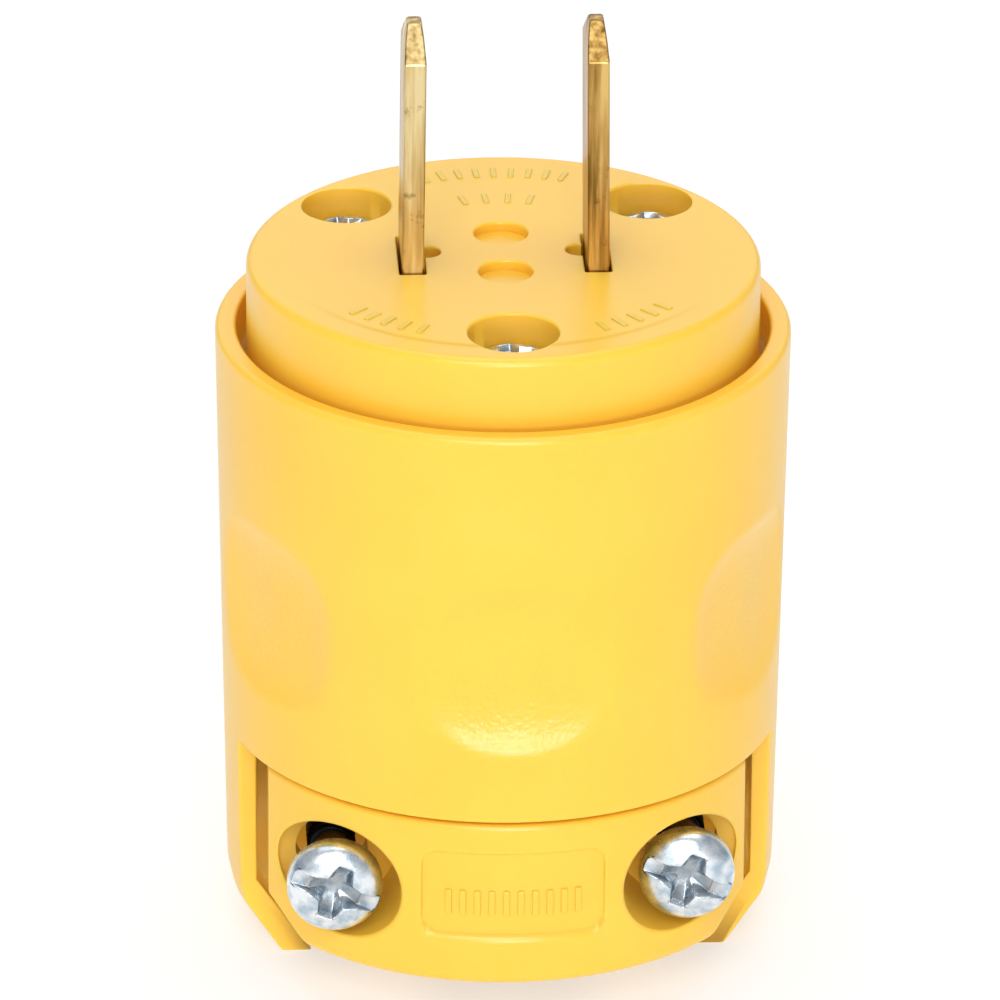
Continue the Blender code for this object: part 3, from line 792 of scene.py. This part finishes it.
def makeDashes():
    top = faceSizes["top"] * mm + 0.02 * mm
    bm = bmesh.new()
    for radius, first, last, count in dashRows:
        for i in range(count):
            turn = math.radians(first + (last - first) * i / (count - 1))
            bm.verts.new((radius * mm * math.cos(turn), radius * mm * math.sin(turn), top))
    dashes = addObject("dashes", bm)
    tree = barTree("raisedDashes", dashSizes, ("Length", "Width", "Height"), -math.pi / 2, nylon)
    runTree(dashes, tree, dashSizes)
    makePlain(dashes)
    softenEdges(dashes, 0.07 * mm)
    return dashes


def makeFace():
    size = {key: value * mm for key, value in faceSizes.items() if key != "columns"}
    outline = [
        (0, size["under"]),
        (size["skirtIn"], size["under"]),
        (size["skirtIn"], size["foot"]),
        (size["flangeRadius"], size["foot"]),
        (size["flangeRadius"], size["flangeTop"]),
        (size["radius"], size["flangeTop"]),
        (size["radius"], size["top"] - size["borderDrop"]),
        (size["border"] + 0.12 * mm, size["top"] - size["borderDrop"]),
        (size["border"] - 0.12 * mm, size["top"]),
        (0, size["top"]),
    ]
    outline = rounded(outline, {3: 0.2 * mm, 4: 0.2 * mm, 6: size["edgeRound"]}, 8)
    face = addObject("faceCover", turned(outline, faceSizes["columns"]))
    top = size["top"]
    tools = []
    for x, y in faceScrewAxes.values():
        bore = flaredRod((x, y), size["boreRadius"], size["seat"], top, size["boreLip"])
        tools.append(("DIFFERENCE", bore))
        tools.append(("DIFFERENCE", rod((x, y), holeRadius, size["under"] - mm, top)))
    for name in ("left", "right"):
        low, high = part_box(f"blade_{name}")
        x = (low.x + high.x) / 2
        side = math.copysign(1, x)
        halves = (size["slotHalfThick"], size["slotHalfWide"])
        slot = flaredSlot((x, 0), *halves, 0.15 * mm, size["under"] - mm, top, size["slotLip"])
        tools.append(("DIFFERENCE", slot))
        middle = (x - side * 1.05 * mm, 0.6 * mm)
        notch = flaredRod(middle, size["notchRadius"], top - 1.2 * mm, top, 0.15 * mm, 40)
        tools.append(("DIFFERENCE", notch))
    for y in (3.7 * mm, -2.9 * mm):
        recess = flaredRod((0, y), size["recessRound"] - 0.2 * mm, top - size["recessDeep"], top, 0.2 * mm)
        tools.append(("DIFFERENCE", recess))
    carve(face, tools)
    mergeInto(face, [makeDashes()])
    smoothShade(face)
    finishPiece(face, nylon, "face_assembly", "yellow_plastic", "face")


makeFace()
print("face made")


plateSizes = {
    "radius": 18.9,
    "halfWidth": 16.5,
    "low": 3.7,
    "top": 16.0,
    "corner": 2.7,
    "earBack": -7.2,
    "jawBack": -4.8,
    "jawHalf": 7.3,
    "boreAcross": 11.75,
    "boreRadius": 4.1,
    "boreSeat": -9.4,
    "boreLip": 0.3,
    "screwHole": 2.5,
    "topEdge": 0.4,
    "footEdge": 0.8,
    "sideEdge": 0.5,
}
panelSizes = {
    "halfWidth": 6.5,
    "halfHeight": 3.3,
    "deep": 0.35,
    "height": 10.6,
    "corner": 1.2,
    "slope": 0.25,
}
ribSizes = {"Width": 0.45 * mm, "Length": 1.9 * mm, "Proud": 0.3 * mm}
ribRow = {"first": -4.5, "last": 4.5, "count": 10, "height": 9.9}  # mm along the curved front


def panelCutter():
    # a rounded rectangle wrapped on the plate's curved front
    size = {key: value * mm for key, value in panelSizes.items()}
    radius, corner = plateSizes["radius"] * mm, size["corner"]
    straight = size["halfWidth"] - corner
    ends = [size["halfWidth"] - corner * (1 - math.cos(math.radians(a))) for a in range(0, 91, 15)]
    places = [-s for s in ends] + [straight * i / 8 for i in range(-7, 8)] + ends[::-1]
    columns = []
    for across in places:
        over = max(abs(across) - straight, 0)
        half = size["halfHeight"] - corner + math.sqrt(max(corner**2 - over**2, 0))
        angle = across / radius
        floor, slope = radius - size["deep"], size["slope"]
        lower = [(floor, slope - half), (radius, -half), (radius + mm, -half)]
        corners = lower + [(r, -up) for r, up in reversed(lower)]
        along, away = math.sin(angle), -math.cos(angle)
        columns.append([(r * along, r * away, size["height"] + up) for r, up in corners])
    return loft(columns)


def makeRibs():
    radius = (plateSizes["radius"] - panelSizes["deep"]) * mm
    bm = bmesh.new()
    for i in range(ribRow["count"]):
        across = ribRow["first"] + (ribRow["last"] - ribRow["first"]) * i / (ribRow["count"] - 1)
        angle = across * mm / radius
        bm.verts.new((radius * math.sin(angle), -radius * math.cos(angle), ribRow["height"] * mm))
    ribs = addObject("ribs", bm)
    tree = barTree("panelRibs", ribSizes, ("Width", "Proud", "Length"), math.pi / 2, nylon)
    runTree(ribs, tree, ribSizes)
    makePlain(ribs)
    softenEdges(ribs, 0.1 * mm)
    return ribs


def plateOutline(halfWidth, inset):
    # the plate seen from above, its curved front drawn in by the inset and its side edges rounded
    size = {key: value * mm for key, value in plateSizes.items()}
    radius, rounding = size["radius"] - inset, size["sideEdge"]
    across = halfWidth - rounding
    centre = Vector((across, -math.sqrt((radius - rounding) ** 2 - across**2)))
    meets = math.degrees(math.atan2(centre.y, centre.x))
    front = arcPoints((0, 0), radius, -90, meets, 36)
    side = arcPoints(centre, rounding, meets, 0, 6)[1:]
    ear, jaw = size["earBack"], size["jawHalf"]
    rear = [(halfWidth, ear), (jaw, ear), (jaw, size["jawBack"])]
    half = front + side + rear
    return half + [(-x, y) for x, y in reversed(half)][:-1]


def plateBody():
    size = {key: value * mm for key, value in plateSizes.items()}
    low, top = size["low"], size["top"]
    foot, crown, corner = size["footEdge"], size["topEdge"], size["corner"]
    levels = []
    for z, inset in (
        [(z, foot - x) for x, z in arcPoints((0, low + foot), foot, -90, 0, 6)]
        + [(low + corner, 0.0), (low + corner + 0.4 * mm, 0.0)]
        + [(z, crown - x) for x, z in arcPoints((0, top - crown), crown, 0, 90, 4)]
    ):
        cut = max(corner - (z - low), 0)  # the lower corners are cut off at 45 degrees
        levels.append((z, size["halfWidth"] - max(cut, 0.5 * inset), inset))
    levels.sort()
    return loft([[(x, y, z) for x, y in plateOutline(half, inset)] for z, half, inset in levels])


def plateBore(side, height):
    # a bore for one screw head, whose mouth follows the plate's curved front in a rounded lip
    size = {key: value * mm for key, value in plateSizes.items()}
    lip = size["boreLip"]
    steps = [(0.0, None)]
    for i in range(6):
        turn = math.pi / 2 * i / 5
        steps.append((lip * (1 - math.cos(turn)), lip * (1 - math.sin(turn))))
    steps.append((lip, -2 * mm))
    rings = []
    for grow, depth in steps:
        ring = []
        for x, z in arcPoints((side * size["boreAcross"], height), size["boreRadius"] + grow, 0, 355, 71):
            across = min(abs(x), size["halfWidth"] - 0.2 * mm)
            front = -math.sqrt(size["radius"] ** 2 - across**2)
            ring.append((x, size["boreSeat"] if depth is None else front + depth, z))
        rings.append(ring)
    return loft(rings)


def makeClampPlate():
    size = {key: value * mm for key, value in plateSizes.items()}
    plate = addObject("clampPlate", plateBody())
    jaw = size["jawBack"]
    first = size["low"] + 1.8 * mm
    tips = teethPoints(jaw, jaw + 0.8 * mm, first)
    teeth = [(jaw - mm, first - 0.8 * mm), *tips, (jaw - mm, tips[-1][1])]
    reach = size["jawHalf"] - 0.4 * mm
    tools = [("UNION", prism(teeth, -reach, reach, "X"))]
    for across in (-3.2 * mm, 3.2 * mm):
        for depth in (-14.2 * mm, -8.8 * mm):
            half = 2.2 * mm
            low = (across - half, depth - half, size["low"] - mm)
            tools.append(("DIFFERENCE", block(low, (across + half, depth + half, 14.3 * mm))))
    for name, (x, z) in clampAxes.items():
        side = math.copysign(1, x)
        tools.append(("DIFFERENCE", plateBore(side, z)))
        tools.append(("DIFFERENCE", rod((x, z), size["screwHole"], -15 * mm, size["earBack"] + mm, "Y")))
    tools.append(("DIFFERENCE", panelCutter()))
    carve(plate, tools)
    mergeInto(plate, [makeRibs()])
    smoothShade(plate)
    finishPiece(plate, nylon, "clamp_plate", "yellow_plastic", "clamp_plate")


makeClampPlate()
print("clamp plate made")


bladeSizes = {
    "lean": 0.16,  # the tips stand a little nearer to each other
    "tipReach": 0.9,  # the worn point stands a little past the solid that collides
    "halfThick": 0.75,
    "neckHalfThick": 0.7,
    "halfWide": 3.175,
    "softEdge": 0.12,
}


def makeBlade(name, material):
    low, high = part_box(f"blade_{name}")
    x = (low.x + high.x) / 2
    tip = high.z + bladeSizes["tipReach"] * mm
    faceTop = faceSizes["top"] * mm
    thick, neck, wide = (bladeSizes[key] * mm for key in ("halfThick", "neckHalfThick", "halfWide"))
    levels = (
        (low.z, 3.4 * mm, thick),
        (low.z + 0.6 * mm, 4.0 * mm, thick),
        (41.7 * mm, 4.0 * mm, thick),
        (42.1 * mm, 4.5 * mm, thick),
        (44.3 * mm, 4.5 * mm, thick),
        (44.7 * mm, wide, neck),
        (50.6 * mm, wide, neck),
        (50.8 * mm, wide, thick),
        (tip - 2.0 * mm, wide, thick),
        (tip - 0.9 * mm, 0.55 * wide, thick - 0.1 * mm),
        (tip - 0.1 * mm, 0.8 * mm, thick - 0.24 * mm),
        (tip, 0.65 * mm, thick - 0.34 * mm),
    )
    rings = []
    for z, w, t in levels:
        lean = bladeSizes["lean"] * mm * max(z - faceTop, 0) / (tip - faceTop)
        middle = x - math.copysign(lean, x)
        rings.append([(middle - t, -w, z), (middle + t, -w, z), (middle + t, w, z), (middle - t, w, z)])
    blade = addObject(f"blade{name.title()}", loft(rings))
    screwLow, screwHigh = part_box(f"terminal_screw_{name}")
    height = (screwLow.z + screwHigh.z) / 2
    carve(blade, [("DIFFERENCE", rod((0, height), holeRadius, x - 2 * mm, x + 2 * mm, "X"))])
    softenEdges(blade, bladeSizes["softEdge"] * mm, segments=3, angle=40)
    finishPiece(blade, material, "face_assembly", "brass", f"blade_{name}")


makeBlade("left", cleanBrass)
makeBlade("right", tarnishedBrass)
print("blades made")


threadSizes = {
    "Crest radius": threadRadius,
    "Depth": 0.34 * mm,
    "Pitch": 0.794 * mm,
    "Length": 0.0,  # each screw sets its own length and plain neck
    "Neck": 0.0,
}
# recessPaintedShade: how far the cross recess is darkened, as painted shade in its hollow
clampHead = {"radius": 3.3, "height": 2.2, "reach": 0.62, "slot": 1.1, "neck": 5.0, "recessPaintedShade": 0.45}
faceHead = {"radius": 2.7, "height": 1.5, "reach": 0.64, "slot": 0.0, "neck": 0.9, "recessPaintedShade": 0.45}
terminalHead = {"radius": 3.3, "height": 2.0, "reach": 0.6, "slot": 1.1, "neck": 0.9, "recessPaintedShade": 0.3}
clampSlotTurn = math.radians(22)


def threadTree():
    # a ridge that winds round the shank; the guide is the shank itself
    tree, given, output = newGeometryTree("screwThread", threadSizes)
    size = given.outputs
    length, depth = size["Length"], size["Depth"]
    turns = addNode(tree, "ShaderNodeMath", {0: length, 1: size["Pitch"]}, operation="DIVIDE").outputs[0]
    inputs = {0: size["Crest radius"], 1: depth}
    middle = addNode(tree, "ShaderNodeMath", inputs, operation="SUBTRACT").outputs[0]
    inputs = {"Resolution": 26, "Rotations": turns, "Height": length}
    inputs.update({"Start Radius": middle, "End Radius": middle})
    spiral = addNode(tree, "GeometryNodeCurveSpiral", inputs).outputs[0]
    upright = addNode(tree, "GeometryNodeSetCurveNormal", {"Curve": spiral}, mode="Z_UP").outputs[0]
    inputs = {"Resolution": 4, "Radius": depth}
    ridge = addNode(tree, "GeometryNodeCurvePrimitiveCircle", inputs).outputs[0]
    inputs = {"Curve": upright, "Profile Curve": ridge, "Fill Caps": True}
    swept = addNode(tree, "GeometryNodeCurveToMesh", inputs).outputs[0]
    reach = addNode(tree, "ShaderNodeMath", {0: length, 1: size["Neck"]}, operation="ADD").outputs[0]
    start = addNode(tree, "ShaderNodeMath", {0: reach, 1: -1.0}, operation="MULTIPLY").outputs[0]
    down = addNode(tree, "ShaderNodeCombineXYZ", {"Z": start}).outputs[0]
    inputs = {"Geometry": swept, "Translation": down}
    lowered = addNode(tree, "GeometryNodeTransform", inputs).outputs[0]
    joined = addNode(tree, "GeometryNodeJoinGeometry")
    tree.links.new(size["Geometry"], joined.inputs[0])
    tree.links.new(lowered, joined.inputs[0])
    endTree(tree, output, joined.outputs[0], zinc)
    return tree


thread = threadTree()


def headOutline(radius, height):
    points = [(radius - 0.12 * mm, 0), (radius, 0.12 * mm)]
    for i in range(13):
        turn = math.pi / 2 * i / 12
        points.append((radius * math.cos(turn) ** 0.72, height * (0.4 + 0.6 * math.sin(turn) ** 0.95)))
    points[-1] = (0, height)
    return points


def crossRecess(top, deep, reach):
    # a tapering cross with a flared hub, for a cross-point driver
    rings = []
    for z, long, wide, hub in (
        (top + 0.2 * mm, reach * 1.05, 0.28 * reach, 0.46 * reach),
        (top - 0.5 * deep, reach * 0.86, 0.23 * reach, 0.38 * reach),
        (top - deep, 0.3 * reach, 0.12 * reach, 0.18 * reach),
    ):
        ring = []
        for quarter in range(4):
            turnedBy = Matrix.Rotation(quarter * math.pi / 2, 2)
            ring += [turnedBy @ Vector(corner) for corner in ((long, -wide), (long, wide), (hub, hub))]
        rings.append([(p.x, p.y, z) for p in ring])
    return loft(rings)


def makeScrew(name, head, length, matrix):
    # a pan-head machine screw along Z with its seat at the origin, then put in its place
    radius, height = head["radius"] * mm, head["height"] * mm
    core = threadRadius - threadSizes["Depth"]
    shank = [(0, -length), (core - 0.45 * mm, -length), (core, -length + 0.5 * mm)]
    shank += [(core, -0.3 * mm), (core + 0.1 * mm, 0)]
    screw = addObject(name, turned(shank + headOutline(radius, height), 64))
    tools = [("DIFFERENCE", crossRecess(height, 0.72 * height, head["reach"] * radius))]
    if head["slot"]:
        half = head["slot"] / 2 * mm
        tools.append(("DIFFERENCE", block((-30 * mm, -half, 0.66 * height), (30 * mm, half, height + mm))))
    carve(screw, tools)

    def weightOf(middle, direction):
        return 1.0 if middle.z > 0.3 * height else 0.0

    softenEdges(screw, 0.07 * mm, angle=30, weightOf=weightOf)
    neck = head["neck"] * mm
    runTree(screw, thread, {**threadSizes, "Length": length - neck - 0.5 * mm, "Neck": neck})
    makePlain(screw)
    # painted shade: the shank just under the head is made near-black, for the shadow in the bore; the cross
    # recess is partly darkened, for the shade in its hollow
    paintedShadeMask = screw.data.attributes.new("paintedShade", "FLOAT", "POINT")
    for i, vertex in enumerate(screw.data.vertices):
        spread = min(vertex.co.xy.length / radius, 1)
        dome = height * (0.4 + 0.6 * math.sqrt(1 - spread**2))
        if -neck - 3 * mm < vertex.co.z < -0.02 * mm:
            paintedShadeMask.data[i].value = 1.0
        elif spread < 0.75 and 0.1 * height < vertex.co.z < dome - 0.2 * mm:
            paintedShadeMask.data[i].value = head["recessPaintedShade"]
    screw.data.transform(matrix)
    return screw


clampHeadReach = {"left": 0.9 * mm, "right": 1.2 * mm}  # a little further out, as half-driven screws stand
for name, (low, high) in clampScrewBoxes.items():
    x, z = clampAxes[name]
    seat = Vector((x, low.y + clampHead["height"] * mm - clampHeadReach[name], z))
    matrix = Matrix.Translation(seat) @ Euler((math.pi / 2, clampSlotTurn, 0)).to_matrix().to_4x4()
    screw = makeScrew(f"clampScrew{name.title()}", clampHead, high.y - seat.y, matrix)
    finishPiece(screw, zinc, f"clamp_screw_{name}", "zinc_steel", f"clamp_screw_{name}")

faceScrewTurns = {"front": 20, "left": 35, "right": -10}  # degrees
for name, (low, high) in faceScrewBoxes.items():
    x, y = faceScrewAxes[name]
    seat = high.z - faceHead["height"] * mm
    matrix = Matrix.Translation((x, y, seat)) @ Matrix.Rotation(math.radians(faceScrewTurns[name]), 4, "Z")
    screw = makeScrew(f"faceScrew{name.title()}", faceHead, seat - low.z, matrix)
    finishPiece(screw, zinc, f"face_screw_{name}", "zinc_steel", f"face_screw_{name}")

for name in ("left", "right"):
    low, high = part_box(f"terminal_screw_{name}")
    side = -1 if name == "left" else 1
    outer = low.x if side < 0 else high.x
    inner = high.x if side < 0 else low.x
    seat = outer - side * terminalHead["height"] * mm
    place = (seat, 0, (low.z + high.z) / 2)
    matrix = Matrix.Translation(place) @ Matrix.Rotation(side * math.pi / 2, 4, "Y")
    screw = makeScrew(f"terminalScrew{name.title()}", terminalHead, abs(seat - inner), matrix)
    finishPiece(screw, zinc, f"terminal_screw_{name}", "zinc_steel", f"terminal_screw_{name}")
print("screws made")


knurlSizes = {"Radius": 2.56 * mm, "Width": 0.34 * mm, "Height": 5.4 * mm}
knurlCount = 26


edges = ("Width", "Width", "Height")
knurl = barTree("knurledSleeve", knurlSizes, edges, math.pi / 4, cleanBrass, ring=knurlCount)


def makeInsert(name):
    low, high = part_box(f"threaded_insert_{name}")
    middle = (low + high) / 2
    half = (high.z - low.z) / 2
    radius = knurlSizes["Radius"]
    outline = [(holeRadius, -half), (radius, -half), (radius, half), (holeRadius, half)]
    bm = bmesh.new()
    steps = 48
    columns = []
    for i in range(steps):
        turn = 2 * math.pi * i / steps
        columns.append([bm.verts.new((r * math.cos(turn), r * math.sin(turn), z)) for r, z in outline])
    joinColumns(bm, columns + columns[:1])
    insert = addObject(f"insert{name.title()}", bm)
    softenEdges(insert, 0.15 * mm)
    runTree(insert, knurl, knurlSizes)
    makePlain(insert)
    insert.data.transform(Matrix.Translation(middle))
    finishPiece(insert, cleanBrass, "shell", "brass", f"threaded_insert_{name}")


def makeNut(name):
    # a hexagon with its corners turned off
    low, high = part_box(f"clamp_nut_{name}")
    x, z = clampAxes[name]
    flats = 6.35 * mm
    corners = arcPoints((x, z), flats / math.sqrt(3), 30, 330, 5)
    nut = addObject(f"nut{name.title()}", prism(corners, low.y, high.y, "Y"))
    thick = high.y - low.y
    reach = flats / math.sqrt(3)
    outline = [
        (0, 0),
        (flats / 2 - 0.05 * mm, 0),
        (reach, 0.3 * mm),
        (reach, thick - 0.3 * mm),
        (flats / 2 - 0.05 * mm, thick),
        (0, thick),
    ]
    blank = turned(outline, 48)
    place = Matrix.Translation((x, low.y, z)) @ Matrix.Rotation(-math.pi / 2, 4, "X")
    bmesh.ops.transform(blank, matrix=place, verts=blank.verts)
    hole = rod((x, z), holeRadius, low.y - mm, high.y + mm, "Y")
    carve(nut, [("INTERSECT", blank), ("DIFFERENCE", hole)])
    softenEdges(nut, 0.08 * mm)
    finishPiece(nut, zinc, "shell", "zinc_steel", f"clamp_nut_{name}")


def makeTerminalClamp(name):
    # a pressed plate with grooves that bite the wire
    low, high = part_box(f"terminal_clamp_{name}")
    plate = addObject(f"terminalClamp{name.title()}", block(low, high))
    middle = (low + high) / 2
    inner = high.x if middle.x < 0 else low.x
    tools = [("DIFFERENCE", rod((0, middle.z), holeRadius, low.x - mm, high.x + mm, "X"))]
    for i in range(-3, 4):
        if i:
            z = middle.z + i * mm
            out = math.copysign(mm, middle.x)
            notch = [(inner, z - 0.2 * mm), (inner + 0.25 * out, z), (inner, z + 0.2 * mm)]
            notch.append((inner - 0.3 * out, z))
            tools.append(("DIFFERENCE", prism(notch, -10 * mm, 10 * mm, "Y")))
    carve(plate, tools)
    softenEdges(plate, 0.12 * mm)
    finishPiece(plate, cleanBrass, f"terminal_clamp_{name}", "brass", f"terminal_clamp_{name}")


def makeTerminalBlock():
    low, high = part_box("terminal_block")
    plateLow = 41.5 * mm
    terminalBlock = addObject("terminalBlock", rod((0, 0), high.x, plateLow, high.z, steps=96))
    core = block((-5.2 * mm, -7.5 * mm, low.z), (5.2 * mm, 7.5 * mm, plateLow + mm))
    tools = [("UNION", core)]
    for x, y in faceScrewAxes.values():
        tools.append(("DIFFERENCE", rod((x, y), holeRadius, plateLow - mm, high.z + mm)))
    for name in ("left", "right"):
        bladeLow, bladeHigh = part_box(f"blade_{name}")
        cutLow = (bladeLow.x - clearance, bladeLow.y - clearance, plateLow - mm)
        cutHigh = (bladeHigh.x + clearance, bladeHigh.y + clearance, high.z + mm)
        tools.append(("DIFFERENCE", block(cutLow, cutHigh)))
    tools.append(("DIFFERENCE", rod((0, 34.3 * mm), holeRadius, -10 * mm, 10 * mm, "X")))
    carve(terminalBlock, tools)
    softenEdges(terminalBlock, 0.25 * mm)
    finishPiece(terminalBlock, urea, "face_assembly", "block_plastic", "terminal_block")


for name in ("front", "left", "right"):
    makeInsert(name)
for name in ("left", "right"):
    makeNut(name)
    makeTerminalClamp(name)
makeTerminalBlock()
print("nuts, inserts and terminals made")
